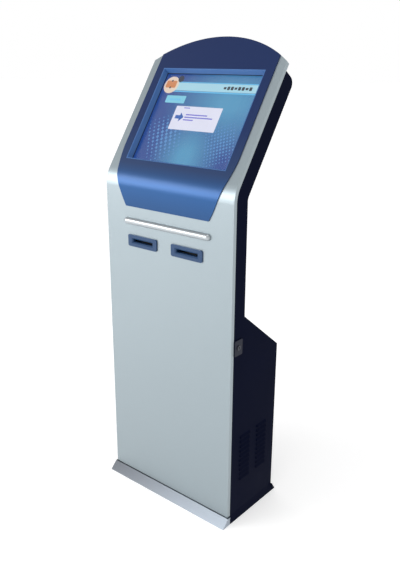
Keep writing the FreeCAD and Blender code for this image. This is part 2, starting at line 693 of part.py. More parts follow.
# Power inlet with a recessed appliance socket and a rocker switch beside it.
inlet = slab(
    inlet_x - inlet_half - 6, inlet_x + inlet_half + 6, base_depth, base_depth + 2.5,
    inlet_z - inlet_high - 4, inlet_z + inlet_high + 4)
inlet = inlet.fuse(slab(
    inlet_x - inlet_half, inlet_x + inlet_half, base_inner - 24, base_depth,
    inlet_z - inlet_high, inlet_z + inlet_high)).removeSplitter()
socket_x = inlet_x + 8.0
inlet = inlet.cut(slab(
    socket_x - 12, socket_x + 12, base_depth - 15, base_depth + 9, inlet_z - 8, inlet_z + 8))
blades = [
    slab(socket_x + dx - 1, socket_x + dx + 1, base_depth - 15, base_depth - 3,
         inlet_z + dz - 2.5, inlet_z + dz + 2.5)
    for dx, dz in ((-7.0, -1.5), (0.0, 1.5), (7.0, -1.5))]
inlet = inlet.multiFuse(blades)
rocker_x = inlet_x - 15.5
rocker_y = base_depth - 2.0
rocker_r = 9.0
well = rod(rocker_r + 0.4, rocker_x - 5.3, rocker_x + 5.3, rocker_y, inlet_z)
inlet = inlet.cut(well).cut(slab(
    rocker_x - 5.3, rocker_x + 5.3, rocker_y, base_depth + 9, inlet_z - rocker_r - 0.4,
    inlet_z + rocker_r + 0.4))
inlet = inlet.cut(rod(1.3 + run_fit, rocker_x - 7, rocker_x + 7, rocker_y, inlet_z))
save("power_inlet", inlet.removeSplitter())
rocker = rod(rocker_r, rocker_x - 5, rocker_x + 5, rocker_y, inlet_z)
rocker = rocker.cut(slab(
    rocker_x - 9, rocker_x + 9, rocker_y + 5.5, rocker_y + 30, inlet_z - 30, inlet_z + 30))
rocker = rocker.fuse(rod(1.3, rocker_x - 6.8, rocker_x + 6.8, rocker_y, inlet_z)).removeSplitter()
rocker.rotate(V(rocker_x, rocker_y, inlet_z), V(1, 0, 0), -10)
save("power_rocker", rocker)

# Cooling fan on the inside of the base rear.
fan_front = base_inner - 25.0
bore_r = fan_half - 3.0
fan_frame = rounded(slab(
    fan_x - fan_half, fan_x + fan_half, fan_front, base_inner,
    fan_z - fan_half, fan_z + fan_half), 5, V(0, 1, 0))
fan_frame = fan_frame.cut(bolt(bore_r, fan_x, fan_z, fan_front - 5, base_inner + 5))
arms = [bolt(19, fan_x, fan_z, fan_front, fan_front + 3)]
for k in range(3):
    arm = slab(fan_x, fan_x + bore_r + 1.5, fan_front, fan_front + 3, fan_z - 3, fan_z + 3)
    arm.rotate(V(fan_x, 0, fan_z), V(0, 1, 0), 30 + 120 * k)
    arms.append(arm)
axle = bolt(3, fan_x, fan_z, fan_front + 1, fan_front + 18)
save("fan_frame", join([fan_frame, axle] + arms))
hub = bolt(20, fan_x, fan_z, fan_front + 4, fan_front + 22)
blades = [hub]
for k in range(7):
    blade = slab(15, bore_r - 3, -0.8, 0.8, -9.5, 9.5)
    blade.rotate(V(0, 0, 0), V(1, 0, 0), 38)
    blade.rotate(V(0, 0, 0), V(1, 0, 0), 90)
    blade.translate(V(fan_x, fan_front + 13, fan_z))
    blade.rotate(V(fan_x, 0, fan_z), V(0, 1, 0), 360.0 * k / 7)
    blades.append(blade)
rotor = join(blades).cut(bolt(3 + run_fit, fan_x, fan_z, fan_front, fan_front + 19))
save("fan_rotor", rotor)
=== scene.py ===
import math
import bmesh
import bpy
from mathutils import Matrix, Vector


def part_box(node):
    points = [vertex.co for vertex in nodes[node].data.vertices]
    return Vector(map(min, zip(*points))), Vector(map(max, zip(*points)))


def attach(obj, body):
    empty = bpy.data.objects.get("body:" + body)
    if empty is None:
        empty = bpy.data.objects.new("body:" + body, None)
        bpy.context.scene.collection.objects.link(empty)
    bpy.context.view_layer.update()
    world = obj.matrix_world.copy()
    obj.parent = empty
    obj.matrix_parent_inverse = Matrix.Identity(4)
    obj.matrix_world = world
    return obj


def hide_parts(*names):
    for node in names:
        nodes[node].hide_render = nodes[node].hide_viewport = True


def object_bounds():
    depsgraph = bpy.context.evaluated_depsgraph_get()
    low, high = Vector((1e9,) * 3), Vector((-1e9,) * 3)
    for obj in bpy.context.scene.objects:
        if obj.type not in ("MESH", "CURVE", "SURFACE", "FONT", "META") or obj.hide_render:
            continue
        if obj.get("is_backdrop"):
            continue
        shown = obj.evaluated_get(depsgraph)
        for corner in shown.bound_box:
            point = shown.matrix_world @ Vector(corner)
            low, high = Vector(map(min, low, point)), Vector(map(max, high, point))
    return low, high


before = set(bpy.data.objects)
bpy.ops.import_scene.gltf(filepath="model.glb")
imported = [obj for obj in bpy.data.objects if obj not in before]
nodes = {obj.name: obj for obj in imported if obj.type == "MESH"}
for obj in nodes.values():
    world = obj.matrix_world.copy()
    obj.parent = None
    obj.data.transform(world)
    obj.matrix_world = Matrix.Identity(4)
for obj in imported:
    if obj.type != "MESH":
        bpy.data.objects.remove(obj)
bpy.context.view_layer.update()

# ---------------------------------------------------------------------------
# Studio: the kiosk stands on a plain pale floor against a white backdrop.
# The surroundings are brightest near the floor, so the paint picks up a soft
# glow where the front bends back. Soft panels add form from the left and from above.
scene = bpy.context.scene
scene.view_settings.view_transform = "Standard"

camera_data = bpy.data.cameras.new("camera")
camera_data.lens = 41.92
camera_data.sensor_width = 36.0
camera_data.clip_start = 0.05
camera_data.clip_end = 200.0
camera = bpy.data.objects.new("camera", camera_data)
scene.collection.objects.link(camera)
scene.camera = camera
turn, dip, roll = (math.radians(a) for a in (39.83, 18.81, 0.30))
ahead = Vector((-math.sin(turn) * math.cos(dip), math.cos(turn) * math.cos(dip), -math.sin(dip)))
level = Vector((math.cos(turn), math.sin(turn), 0.0))
upward = level.cross(ahead)
across = level * math.cos(roll) + upward * math.sin(roll)
upward = across.cross(ahead)
eye = (1.332, -1.5535, 1.434)
camera.matrix_world = Matrix.Translation(eye) @ Matrix((across, upward, -ahead)).transposed().to_4x4()

world = bpy.data.worlds.new("studio")
scene.world = world
world.use_nodes = True
around = world.node_tree
room = around.nodes["Background"]
room.inputs["Color"].default_value = (1.0, 1.0, 1.0, 1)
where = around.nodes.new("ShaderNodeTexCoord")
height = around.nodes.new("ShaderNodeSeparateXYZ")
around.links.new(where.outputs["Generated"], height.inputs[0])
dim = around.nodes.new("ShaderNodeMapRange")
dim.inputs["From Min"].default_value = 0.02
dim.inputs["From Max"].default_value = 0.62
dim.inputs["To Min"].default_value = 1.10
dim.inputs["To Max"].default_value = 0.66
around.links.new(height.outputs["Z"], dim.inputs["Value"])
around.links.new(dim.outputs[0], room.inputs["Strength"])
backdrop = around.nodes.new("ShaderNodeBackground")
backdrop.inputs["Color"].default_value = (1.0, 1.0, 1.0, 1)
seen = around.nodes.new("ShaderNodeLightPath")
choose = around.nodes.new("ShaderNodeMixShader")
around.links.new(seen.outputs["Is Camera Ray"], choose.inputs[0])
around.links.new(room.outputs[0], choose.inputs[1])
around.links.new(backdrop.outputs[0], choose.inputs[2])
around.links.new(choose.outputs[0], around.nodes["World Output"].inputs["Surface"])


def soft_panel(name, place, aim, size, power):
    """A square soft light that points at a spot."""
    data = bpy.data.lights.new(name, "AREA")
    data.shape = "RECTANGLE"
    data.size, data.size_y = size
    data.energy = power
    lamp = bpy.data.objects.new(name, data)
    scene.collection.objects.link(lamp)
    lamp.location = place
    lamp.rotation_mode = "QUATERNION"
    lamp.rotation_quaternion = (Vector(aim) - Vector(place)).to_track_quat("-Z", "Y")


soft_panel("key", (-2.7, -3.1, 1.75), (0, 0, 1.0), (2.4, 1.7), 74)
soft_panel("overhead", (0.3, -1.2, 3.6), (0, 0, 1.0), (1.6, 1.0), 12)

floor_mesh = bpy.data.meshes.new("floor")
floor_mesh.from_pydata([(-40, -40, 0), (40, -40, 0), (40, 40, 0), (-40, 40, 0)], [], [(0, 1, 2, 3)])
floor = bpy.data.objects.new("floor", floor_mesh)
scene.collection.objects.link(floor)
floor_paint = bpy.data.materials.new("floor_paint")
floor_paint.use_nodes = True
floor_shader = floor_paint.node_tree.nodes["Principled BSDF"]
floor_shader.inputs["Base Color"].default_value = (0.86, 0.86, 0.86, 1)
floor_shader.inputs["Emission Color"].default_value = (1.0, 1.0, 1.0, 1)
floor_shader.inputs["Emission Strength"].default_value = 0.40
floor_shader.inputs["Roughness"].default_value = 0.75
floor_mesh.materials.append(floor_paint)
floor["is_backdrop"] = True


def start_finish(name, colour, metallic, roughness):
    """A new material with its shader and the object's own coordinates."""
    finish = bpy.data.materials.new(name)
    finish.use_nodes = True
    tree = finish.node_tree
    shader = tree.nodes["Principled BSDF"]
    shader.inputs["Base Color"].default_value = (*colour, 1)
    shader.inputs["Metallic"].default_value = metallic
    shader.inputs["Roughness"].default_value = roughness
    coords = tree.nodes.new("ShaderNodeTexCoord")
    return finish, tree, shader, coords.outputs["Object"]


def dress(finish, *names):
    """Give frame pieces a finish in place of their plain one."""
    for name in names:
        mesh = nodes[name].data
        mesh.materials.clear()
        mesh.materials.append(finish)


def math_node(tree, operation, a, b=None, c=None, clamp=False):
    """A Math node fed by sockets or plain numbers."""
    node = tree.nodes.new("ShaderNodeMath")
    node.operation = operation
    node.use_clamp = clamp
    for socket, value in zip(node.inputs, (a, b, c)):
        if value is None:
            continue
        if isinstance(value, (int, float)):
            socket.default_value = value
        else:
            tree.links.new(value, socket)
    return node.outputs[0]


def noise_node(tree, vector, scale, detail=2.0, roughness=0.5):
    """A noise pattern's value on a vector socket."""
    node = tree.nodes.new("ShaderNodeTexNoise")
    node.inputs["Scale"].default_value = scale
    node.inputs["Detail"].default_value = detail
    node.inputs["Roughness"].default_value = roughness
    tree.links.new(vector, node.inputs["Vector"])
    return node.outputs["Fac"]


def stretch_node(tree, vector, scale):
    """The vector stretched by a scale along each axis."""
    node = tree.nodes.new("ShaderNodeMapping")
    node.inputs["Scale"].default_value = scale
    tree.links.new(vector, node.inputs["Vector"])
    return node.outputs[0]


def bump_node(tree, shader, height, distance, strength=1.0):
    """Feed a height into the shader's normal."""
    node = tree.nodes.new("ShaderNodeBump")
    node.inputs["Strength"].default_value = strength
    node.inputs["Distance"].default_value = distance
    tree.links.new(height, node.inputs["Height"])
    tree.links.new(node.outputs[0], shader.inputs["Normal"])


def make_uneven_tone():
    """Shader group: a colour made lighter and darker by fine grain and broad clouds."""
    group = bpy.data.node_groups.new("uneven_tone", "ShaderNodeTree")
    sockets = group.interface
    sockets.new_socket("Vector", in_out="INPUT", socket_type="NodeSocketVector")
    sockets.new_socket("Colour", in_out="INPUT", socket_type="NodeSocketColor")
    for name in ("Grain Scale", "Grain", "Cloud Scale", "Clouds"):
        sockets.new_socket(name, in_out="INPUT", socket_type="NodeSocketFloat")
    sockets.new_socket("Colour", in_out="OUTPUT", socket_type="NodeSocketColor")
    sockets.new_socket("Height", in_out="OUTPUT", socket_type="NodeSocketFloat")
    given = group.nodes.new("NodeGroupInput")
    result = group.nodes.new("NodeGroupOutput")
    parts = []
    for scale, amount, detail in (("Grain Scale", "Grain", 2.0), ("Cloud Scale", "Clouds", 3.0)):
        noise = group.nodes.new("ShaderNodeTexNoise")
        noise.inputs["Detail"].default_value = detail
        group.links.new(given.outputs["Vector"], noise.inputs["Vector"])
        group.links.new(given.outputs[scale], noise.inputs["Scale"])
        centred = math_node(group, "SUBTRACT", noise.outputs["Fac"], 0.5)
        parts.append(math_node(group, "MULTIPLY", centred, given.outputs[amount]))
        if scale == "Grain Scale":
            group.links.new(noise.outputs["Fac"], result.inputs["Height"])
    total = math_node(group, "ADD", math_node(group, "ADD", parts[0], parts[1]), 1.0)
    tint = group.nodes.new("ShaderNodeHueSaturation")
    group.links.new(given.outputs["Colour"], tint.inputs["Color"])
    group.links.new(total, tint.inputs["Value"])
    group.links.new(tint.outputs["Color"], result.inputs["Colour"])
    return group


uneven_tone = make_uneven_tone()


def tone(tree, vector, colour, grain_scale, grain, cloud_scale, clouds):
    """Place the uneven tone group; returns its colour and height."""
    node = tree.nodes.new("ShaderNodeGroup")
    node.node_tree = uneven_tone
    tree.links.new(vector, node.inputs["Vector"])
    if isinstance(colour, tuple):
        node.inputs["Colour"].default_value = (*colour, 1)
    else:
        tree.links.new(colour, node.inputs["Colour"])
    for name, value in zip(
            ("Grain Scale", "Grain", "Cloud Scale", "Clouds"),
            (grain_scale, grain, cloud_scale, clouds)):
        node.inputs[name].default_value = value
    return node.outputs["Colour"], node.outputs["Height"]


def metal_finish(name, colour, roughness, grain_scale, grain, clouds):
    """Bare or plated metal with a fine uneven tone."""
    finish, tree, shader, own = start_finish(name, colour, 1.0, roughness)
    shade, height = tone(tree, own, colour, grain_scale, grain, 9.0, clouds)
    tree.links.new(shade, shader.inputs["Base Color"])
    rough = math_node(tree, "MULTIPLY_ADD", height, 0.2, roughness - 0.1)
    tree.links.new(rough, shader.inputs["Roughness"])
    bump_node(tree, shader, height, 0.00003)
    return finish


zinc = metal_finish("zinc_plate", (0.56, 0.57, 0.59), 0.36, 130.0, 0.30, 0.15)
dress(zinc, "base_tray", "foot_bridges", "display_tray", "display_brackets", "printer_rail")
dress(zinc, "printer_frame_left", "printer_frame_right", "equipment_shelf", "door_keeper")

# ---------------------------------------------------------------------------
# Levelling feet: turned and plated steel studs with a hexagon at the top,
# screwed through the bridges. Hinges, spindles, lock cam and screws have the same plating.
steel = metal_finish("plated_steel", (0.62, 0.63, 0.65), 0.28, 420.0, 0.16, 0.08)
dress(steel, "foot_front_left", "foot_rear_left", "foot_front_right", "foot_rear_right")
dress(steel, "cover_screws", "lock_nut", "lock_cam", "hinge_leaves_cabinet", "hinge_leaves_door")
dress(steel, "hinge_pins", "roll_spindle_left", "roll_spindle_right")

# ---------------------------------------------------------------------------
# Cabinet: folded steel sheet in a satin dark navy powder coat, screwed at the
# rear of the head. The coat has a fine orange-peel texture and a little dust low down.
def floor_patch_mask(tree, vector, top, amount):
    """Mask of cloudy patches, strongest at the floor and gone above a height."""
    split = tree.nodes.new("ShaderNodeSeparateXYZ")
    tree.links.new(vector, split.inputs[0])
    fade = tree.nodes.new("ShaderNodeMapRange")
    fade.inputs["From Min"].default_value = top
    fade.inputs["From Max"].default_value = 0.0
    fade.inputs["To Min"].default_value = 0.0
    fade.inputs["To Max"].default_value = amount
    tree.links.new(split.outputs["Z"], fade.inputs["Value"])
    cloud = noise_node(tree, vector, 14.0, 5.0, 0.6)
    return math_node(tree, "MULTIPLY", fade.outputs[0], cloud, clamp=True)


def mix_colour(tree, mask, colour, other):
    """Blend two colours by a mask."""
    node = tree.nodes.new("ShaderNodeMix")
    node.data_type = "RGBA"
    tree.links.new(mask, node.inputs["Factor"])
    for socket, value in ((node.inputs[6], colour), (node.inputs[7], other)):
        if isinstance(value, tuple):
            socket.default_value = (*value, 1)
        else:
            tree.links.new(value, socket)
    return node.outputs[2]


navy_tone = (0.0016, 0.0032, 0.0150)
navy, tree, shader, own = start_finish("navy_coat", navy_tone, 0.0, 0.5)
shade, height = tone(tree, own, navy_tone, 900.0, 0.5, 5.0, 0.3)
shade = mix_colour(tree, floor_patch_mask(tree, own, 0.25, 0.10), shade, (0.06, 0.06, 0.07))
tree.links.new(shade, shader.inputs["Base Color"])
shader.inputs["Specular IOR Level"].default_value = 0.015
bump_node(tree, shader, noise_node(tree, own, 650.0, 1.0), 0.00006, 0.5)
dress(navy, "side_panel_left", "side_panel_right", "neck_back", "shoulder", "base_back")
dress(navy, "head_top", "head_back_cover", "plinth_skirt")

# ---------------------------------------------------------------------------
# Kick plate: folded stainless sheet along the front of the plinth, brushed
# lengthways. Its colour carries a painted shade toward one end and a painted highlight toward the other.
kick, tree, shader, own = start_finish("brushed_kick", (0.50, 0.52, 0.56), 1.0, 0.34)
strokes = noise_node(tree, stretch_node(tree, own, (3.0, 420.0, 420.0)), 1.0, 4.0, 0.65)
shade, height = tone(tree, own, (0.150, 0.167, 0.188), 60.0, 0.05, 2.2, 0.5)
shade = mix_colour(tree, math_node(tree, "MULTIPLY", strokes, 0.4), shade, (0.24, 0.26, 0.29))
# Painted light: the colour darkens toward -X and turns bright toward +X, standing in for the reflection
# along the plate.
along = tree.nodes.new("ShaderNodeSeparateXYZ")
tree.links.new(own, along.inputs[0])
kick_painted_light = math_node(tree, "MULTIPLY_ADD", along.outputs["X"], 1.9, 0.5, clamp=True)
painted_shade_end = mix_colour(tree, math_node(tree, "SUBTRACT", 1.0, kick_painted_light), shade, (0.085, 0.092, 0.103))
painted_highlight = math_node(tree, "MULTIPLY", math_node(tree, "POWER", kick_painted_light, 2.2), 0.85)
shade = mix_colour(tree, painted_highlight, painted_shade_end, (0.38, 0.43, 0.49))
tree.links.new(shade, shader.inputs["Base Color"])
rough = math_node(tree, "MULTIPLY_ADD", strokes, 0.25, 0.22)
tree.links.new(rough, shader.inputs["Roughness"])
bump_node(tree, shader, strokes, 0.00008, 0.6)
dress(kick, "kick_plate")

# ---------------------------------------------------------------------------
# Cable grommet, power inlet, rocker, button, fan and motor housings: black
# moulded nylon, pushed or screwed into their cut-outs.
def plain_finish(name, colour, roughness, grains, clouds, bumps=None, metallic=0.0, specular=0.5):
    """One uneven colour; grains and clouds are (scale, amount), bumps are (height, strength)."""
    finish, tree, shader, own = start_finish(name, colour, metallic, roughness)
    shade, height = tone(tree, own, colour, *grains, *clouds)
    tree.links.new(shade, shader.inputs["Base Color"])
    shader.inputs["Specular IOR Level"].default_value = specular
    if bumps:
        bump_node(tree, shader, height, *bumps)
    return finish


black = plain_finish("black_nylon", (0.018, 0.018, 0.02), 0.48, (1400.0, 0.5), (30.0, 0.2), (0.00004, 0.6))
dress(black, "cable_grommet", "power_inlet", "power_rocker", "power_button")
dress(black, "fan_frame", "fan_rotor", "feed_motor_left", "feed_motor_right")

# ---------------------------------------------------------------------------
# Display picture: the lit face of the LCD, behind the touch glass. A blue
# background with faint lattices of dots, a pale header, a button and a message box.
lean = math.radians(34.0)
corner_height = 1.083
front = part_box("front_door")[0].y
window_half = 0.195
window_low = 0.067
window_high = 0.385


def on_head(x, s, t):
    """Point on the leaning head, s up the face and t behind it."""
    return Vector((
        x,
        front + s * math.sin(lean) + t * math.cos(lean),
        corner_height + s * math.cos(lean) - t * math.sin(lean)))


def add_piece(name, verts, faces, finish, body):
    """A mesh piece with its place in its vertices, riding on a body."""
    mesh = bpy.data.meshes.new(name)
    mesh.from_pydata([tuple(v) for v in verts], [], faces)
    mesh.materials.append(finish)
    piece = bpy.data.objects.new(name, mesh)
    scene.collection.objects.link(piece)
    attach(piece, body)
    return piece


def rounded_outline(x0, x1, s0, s1, r, steps=5):
    """Outline of a rectangle with rounded corners."""
    points = []
    middles = ((x1 - r, s1 - r), (x0 + r, s1 - r), (x0 + r, s0 + r), (x1 - r, s0 + r))
    for (cx, cs), start in zip(middles, (0, 90, 180, 270)):
        for k in range(steps + 1):
            a = math.radians(start + 90 * k / steps)
            points.append((cx + r * math.cos(a), cs + r * math.sin(a)))
    return points


def window_outline(margin, r):
    """Outline of the screen window, larger all round by a margin."""
    return rounded_outline(
        -window_half - margin, window_half + margin, window_low - margin, window_high + margin, r)


def flat_on_head(name, outlines, t, finish, thick=0.0001):
    """Closed thin plates lying on the display, their fronts at one depth."""
    verts, faces = [], []
    for outline in outlines:
        fore, count = len(verts), len(outline)
        rear = fore + count
        verts += [on_head(x, s, depth) for depth in (t, t + thick) for x, s in outline]
        faces.append(tuple(range(fore, rear)))
        faces.append(tuple(reversed(range(rear, rear + count))))
        for k in range(count):
            n = (k + 1) % count
            faces.append((fore + n, fore + k, rear + k, rear + n))
    return add_piece(name, verts, faces, finish, "cabinet")


def lit_finish(name, colour, strength=1.0):
    """Part of the picture that shines in one colour, faintly uneven like its backlight."""
    finish, tree, shader, own = start_finish(name, (0.01, 0.01, 0.012), 0.0, 0.5)
    shade, height = tone(tree, own, colour, 500.0, 0.05, 12.0, 0.08)
    tree.links.new(shade, shader.inputs["Emission Color"])
    shader.inputs["Emission Strength"].default_value = strength
    return finish


picture_depth = 0.0188
layer = 0.0002
glow, tree, shader, own = start_finish("picture_ground", (0.01, 0.01, 0.012), 0.0, 0.5)
split = tree.nodes.new("ShaderNodeSeparateXYZ")
tree.links.new(own, split.inputs[0])


def glow_spot(x, z, reach, stretch):
    """Soft round patch of light on the picture, wider than it is tall."""
    dx = math_node(tree, "MULTIPLY", math_node(tree, "SUBTRACT", split.outputs["X"], x), stretch)
    dz = math_node(tree, "SUBTRACT", split.outputs["Z"], z)
    square = math_node(tree, "ADD", math_node(tree, "MULTIPLY", dx, dx), math_node(tree, "MULTIPLY", dz, dz))
    away = math_node(tree, "DIVIDE", math_node(tree, "SQRT", square), reach)
    return math_node(tree, "SUBTRACT", 1.0, away, clamp=True)


spots = math_node(
    tree, "MAXIMUM", glow_spot(0.01, 1.155, 0.15, 1.1), glow_spot(0.10, 1.31, 0.15, 0.6))
slant = tree.nodes.new("ShaderNodeMapping")
slant.inputs["Rotation"].default_value = (0.0, math.radians(-38), 0.0)
slant.inputs["Scale"].default_value = (120.0, 1.0, 7.0)
tree.links.new(own, slant.inputs["Vector"])
streaks = math_node(tree, "MULTIPLY", noise_node(tree, slant.outputs[0], 1.0, 2.0), spots)
spots = math_node(tree, "ADD", spots, math_node(tree, "MULTIPLY", streaks, 0.35), clamp=True)
shade = mix_colour(tree, spots, (0.014, 0.075, 0.36), (0.095, 0.40, 0.68))
tree.links.new(shade, shader.inputs["Emission Color"])
shader.inputs["Emission Strength"].default_value = 0.72
panel = nodes["lcd_panel"]
panel_back = max(
    (spot.y - front) * math.cos(lean) - (spot.z - corner_height) * math.sin(lean)
    for spot in (panel.matrix_world @ v.co for v in panel.data.vertices))
panel_front = picture_depth + 3 * layer
picture = flat_on_head(
    "display_picture", [window_outline(0.001, 0.001)], panel_front, glow, panel_back - panel_front)
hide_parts("lcd_panel")

# ---------------------------------------------------------------------------
# Dots of the picture: two slanted lattices of small lit diamonds that shrink
# away from their middle. They shine from just in front of the panel's blue ground.
def start_tree(name, counts, sizes):
    """An empty Geometry Nodes tree with named inputs; returns the tree and its two ends."""
    group = bpy.data.node_groups.new(name, "GeometryNodeTree")
    face = group.interface
    face.new_socket("Geometry", in_out="INPUT", socket_type="NodeSocketGeometry")
    for label in counts:
        face.new_socket(label, in_out="INPUT", socket_type="NodeSocketInt")
    for label in sizes:
        face.new_socket(label, in_out="INPUT", socket_type="NodeSocketFloat")
    face.new_socket("Geometry", in_out="OUTPUT", socket_type="NodeSocketGeometry")
    return group, group.nodes.new("NodeGroupInput"), group.nodes.new("NodeGroupOutput")


def repeat_shape(group, result, points, shape, finish, size=None):
    """Put a shape on every point, make the copies real and give them their finish."""
    spread = group.nodes.new("GeometryNodeInstanceOnPoints")
    group.links.new(points, spread.inputs["Points"])
    group.links.new(shape, spread.inputs["Instance"])
    if size is not None:
        group.links.new(size, spread.inputs["Scale"])
    solid = group.nodes.new("GeometryNodeRealizeInstances")
    paint = group.nodes.new("GeometryNodeSetMaterial")
    paint.inputs["Material"].default_value = finish
    group.links.new(spread.outputs[0], solid.inputs[0])
    group.links.new(solid.outputs[0], paint.inputs["Geometry"])
    group.links.new(paint.outputs[0], result.inputs[0])


def lattice_tree(finish):
    """Geometry Nodes: a grid of small thin diamonds, every size an input."""
    group, given, result = start_tree(
        "dot_lattice", ("Columns", "Rows", "Seed"), ("Width", "Height", "Dot Radius", "Dot Depth"))
    grid = group.nodes.new("GeometryNodeMeshGrid")
    group.links.new(given.outputs["Width"], grid.inputs["Size X"])
    group.links.new(given.outputs["Height"], grid.inputs["Size Y"])
    group.links.new(given.outputs["Columns"], grid.inputs["Vertices X"])
    group.links.new(given.outputs["Rows"], grid.inputs["Vertices Y"])
    dot = group.nodes.new("GeometryNodeMeshCylinder")
    dot.inputs["Vertices"].default_value = 4
    group.links.new(given.outputs["Dot Radius"], dot.inputs["Radius"])
    group.links.new(given.outputs["Dot Depth"], dot.inputs["Depth"])
    place = group.nodes.new("GeometryNodeInputPosition")
    length = group.nodes.new("ShaderNodeVectorMath")
    length.operation = "LENGTH"
    group.links.new(place.outputs[0], length.inputs[0])
    fade = group.nodes.new("ShaderNodeMapRange")
    fade.inputs["From Min"].default_value = 0.020
    fade.inputs["From Max"].default_value = 0.095
    fade.inputs["To Min"].default_value = 1.0
    fade.inputs["To Max"].default_value = 0.25
    group.links.new(length.outputs["Value"], fade.inputs["Value"])
    chance = group.nodes.new("FunctionNodeRandomValue")
    chance.data_type = "FLOAT"
    chance.inputs[2].default_value = 0.85
    chance.inputs[3].default_value = 1.0
    group.links.new(given.outputs["Seed"], chance.inputs["Seed"])
    size = math_node(group, "MULTIPLY", fade.outputs[0], chance.outputs[1])
    repeat_shape(group, result, grid.outputs["Mesh"], dot.outputs["Mesh"], finish, size)
    return group


def grow(name, group, sizes, finish, place, body, points=()):
    """Run a Geometry Nodes tree once, on some points if it needs them, as a plain piece."""
    blank = bpy.data.meshes.new(name + "_blank")
    blank.from_pydata([(*spot, 0.0)[:3] for spot in points], [], [])
    carrier = bpy.data.objects.new(name + "_carrier", blank)
    scene.collection.objects.link(carrier)
    modifier = carrier.modifiers.new("make", "NODES")
    modifier.node_group = group
    for item in group.interface.items_tree:
        if item.item_type == "SOCKET" and item.in_out == "INPUT" and item.name in sizes:
            modifier[item.identifier] = sizes[item.name]
    carrier.update_tag()
    bpy.context.view_layer.update()
    graph = bpy.context.evaluated_depsgraph_get()
    mesh = bpy.data.meshes.new_from_object(carrier.evaluated_get(graph))
    bpy.data.objects.remove(carrier)
    mesh.name = name
    mesh.transform(place)
    if not mesh.materials:
        mesh.materials.append(finish)
    piece = bpy.data.objects.new(name, mesh)
    scene.collection.objects.link(piece)
    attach(piece, body)
    return piece


dots = lit_finish("picture_dots", (0.14, 0.42, 0.88), 0.64)
lattice = lattice_tree(dots)


def head_place(x, s, t, twist=0.0):
    """Matrix that lays something flat on the head, turned by a twist."""
    flat = Matrix.Rotation(math.pi / 2 - lean, 4, "X") @ Matrix.Rotation(twist, 4, "Z")
    return Matrix.Translation(on_head(x, s, t)) @ flat


for name, x, s, wide, tall, columns, rows, radius in (
        ("dots_left", -0.100, 0.160, 0.118, 0.144, 8, 12, 0.0070),
        ("dots_right", 0.122, 0.150, 0.096, 0.120, 10, 12, 0.0046)):
    grow(name, lattice, {
        "Columns": columns, "Rows": rows, "Width": wide, "Height": tall,
        "Dot Radius": radius, "Dot Depth": 0.0001, "Seed": 4}, dots,
        head_place(x, s, picture_depth, math.radians(20)), "cabinet")

# ---------------------------------------------------------------------------
# Header of the picture: a pale band between two thin bright lines, with a row
# of plain dark bars that stand for its words.
header = lit_finish("picture_header", (0.42, 0.72, 0.84), 0.9)
flat_on_head("header_band", [rounded_outline(-0.165, 0.187, 0.322, 0.349, 0.003)], picture_depth, header)
header_edge = lit_finish("picture_header_edge", (0.12, 0.50, 0.80), 1.0)
edge_spans = ((0.3495, 0.3525), (0.3165, 0.3205))
flat_on_head(
    "header_edges", [rounded_outline(-0.150, 0.187, *span, 0.001) for span in edge_spans],
    picture_depth, header_edge)
ink = lit_finish("picture_ink", (0.004, 0.012, 0.03), 1.0)
mark_pitch = 0.0135
mark_wide = 0.0098
mark_line = 0.3355
marks = []
for k in range(8):
    left = 0.056 + k * mark_pitch
    tall = 0.0115 if k % 3 else 0.0075
    marks.append(rounded_outline(left, left + mark_wide, mark_line - tall / 2, mark_line + tall / 2, 0.002))
flat_on_head("header_marks", marks, picture_depth - layer, ink)

# ---------------------------------------------------------------------------
# Badge of the picture: a plain pale disc that carries a ticket with two notches,
# and a small dark dot beside it.
def disc(x, s, r, count=28):
    """Outline of a circle on the picture."""
    return [(x + r * math.cos(2 * math.pi * k / count), s + r * math.sin(2 * math.pi * k / count))
            for k in range(count)]


badge = lit_finish("badge_ring", (0.78, 0.62, 0.50), 1.0)
badge_fill = lit_finish("badge_fill", (0.62, 0.22, 0.07), 1.0)
badge_dark = lit_finish("badge_dark", (0.010, 0.012, 0.03), 1.0)
flat_on_head("badge_ring", [disc(-0.158, 0.340, 0.030)], picture_depth - layer, badge)
flat_on_head(
    "badge_ticket", [rounded_outline(-0.180, -0.138, 0.330, 0.355, 0.004)],
    picture_depth - 2 * layer, badge_fill)
flat_on_head(
    "badge_notches",
    [disc(-0.159, 0.3305, 0.0035, 12), disc(-0.159, 0.3545, 0.0035, 12), disc(-0.126, 0.362, 0.0115)],
    picture_depth - 3 * layer, badge_dark)

# ---------------------------------------------------------------------------
# Button and message of the picture: a turquoise key and a pale box. Short bars
# stand for the words and a plain arrow points at them.
key_face = lit_finish("picture_button", (0.20, 0.58, 0.74), 1.0)
flat_on_head(
    "screen_button", [rounded_outline(-0.156, -0.076, 0.277, 0.303, 0.003)], picture_depth - layer, key_face)
flat_on_head(
    "button_marks",
    [rounded_outline(-0.138 + 0.009 * k, -0.1315 + 0.009 * k, 0.2865, 0.2925, 0.001) for k in range(5)],
    picture_depth - 2 * layer, header_edge)
box_face = lit_finish("message_face", (0.74, 0.74, 0.87), 1.0)
flat_on_head(
    "message_box", [rounded_outline(-0.098, 0.084, 0.187, 0.268, 0.002)], picture_depth - layer, box_face)
box_ink = lit_finish("message_ink", (0.16, 0.15, 0.62), 1.0)
line_spans = (
    (-0.048, 0.036, 0.2375, 0.2415), (-0.050, 0.060, 0.2285, 0.2325),
    (-0.052, -0.012, 0.2195, 0.2235), (-0.066, -0.042, 0.2605, 0.2635))
flat_on_head(
    "message_lines", [rounded_outline(*span, 0.001) for span in line_spans],
    picture_depth - 2 * layer, box_ink)
arrow_blue = lit_finish("message_arrow", (0.01, 0.10, 0.42), 1.0)
arrow = [
    (-0.088, 0.224), (-0.070, 0.224), (-0.070, 0.214), (-0.054, 0.230),
    (-0.070, 0.246), (-0.070, 0.236), (-0.088, 0.236)]
flat_on_head("message_arrow", [arrow], picture_depth - 2 * layer, arrow_blue)

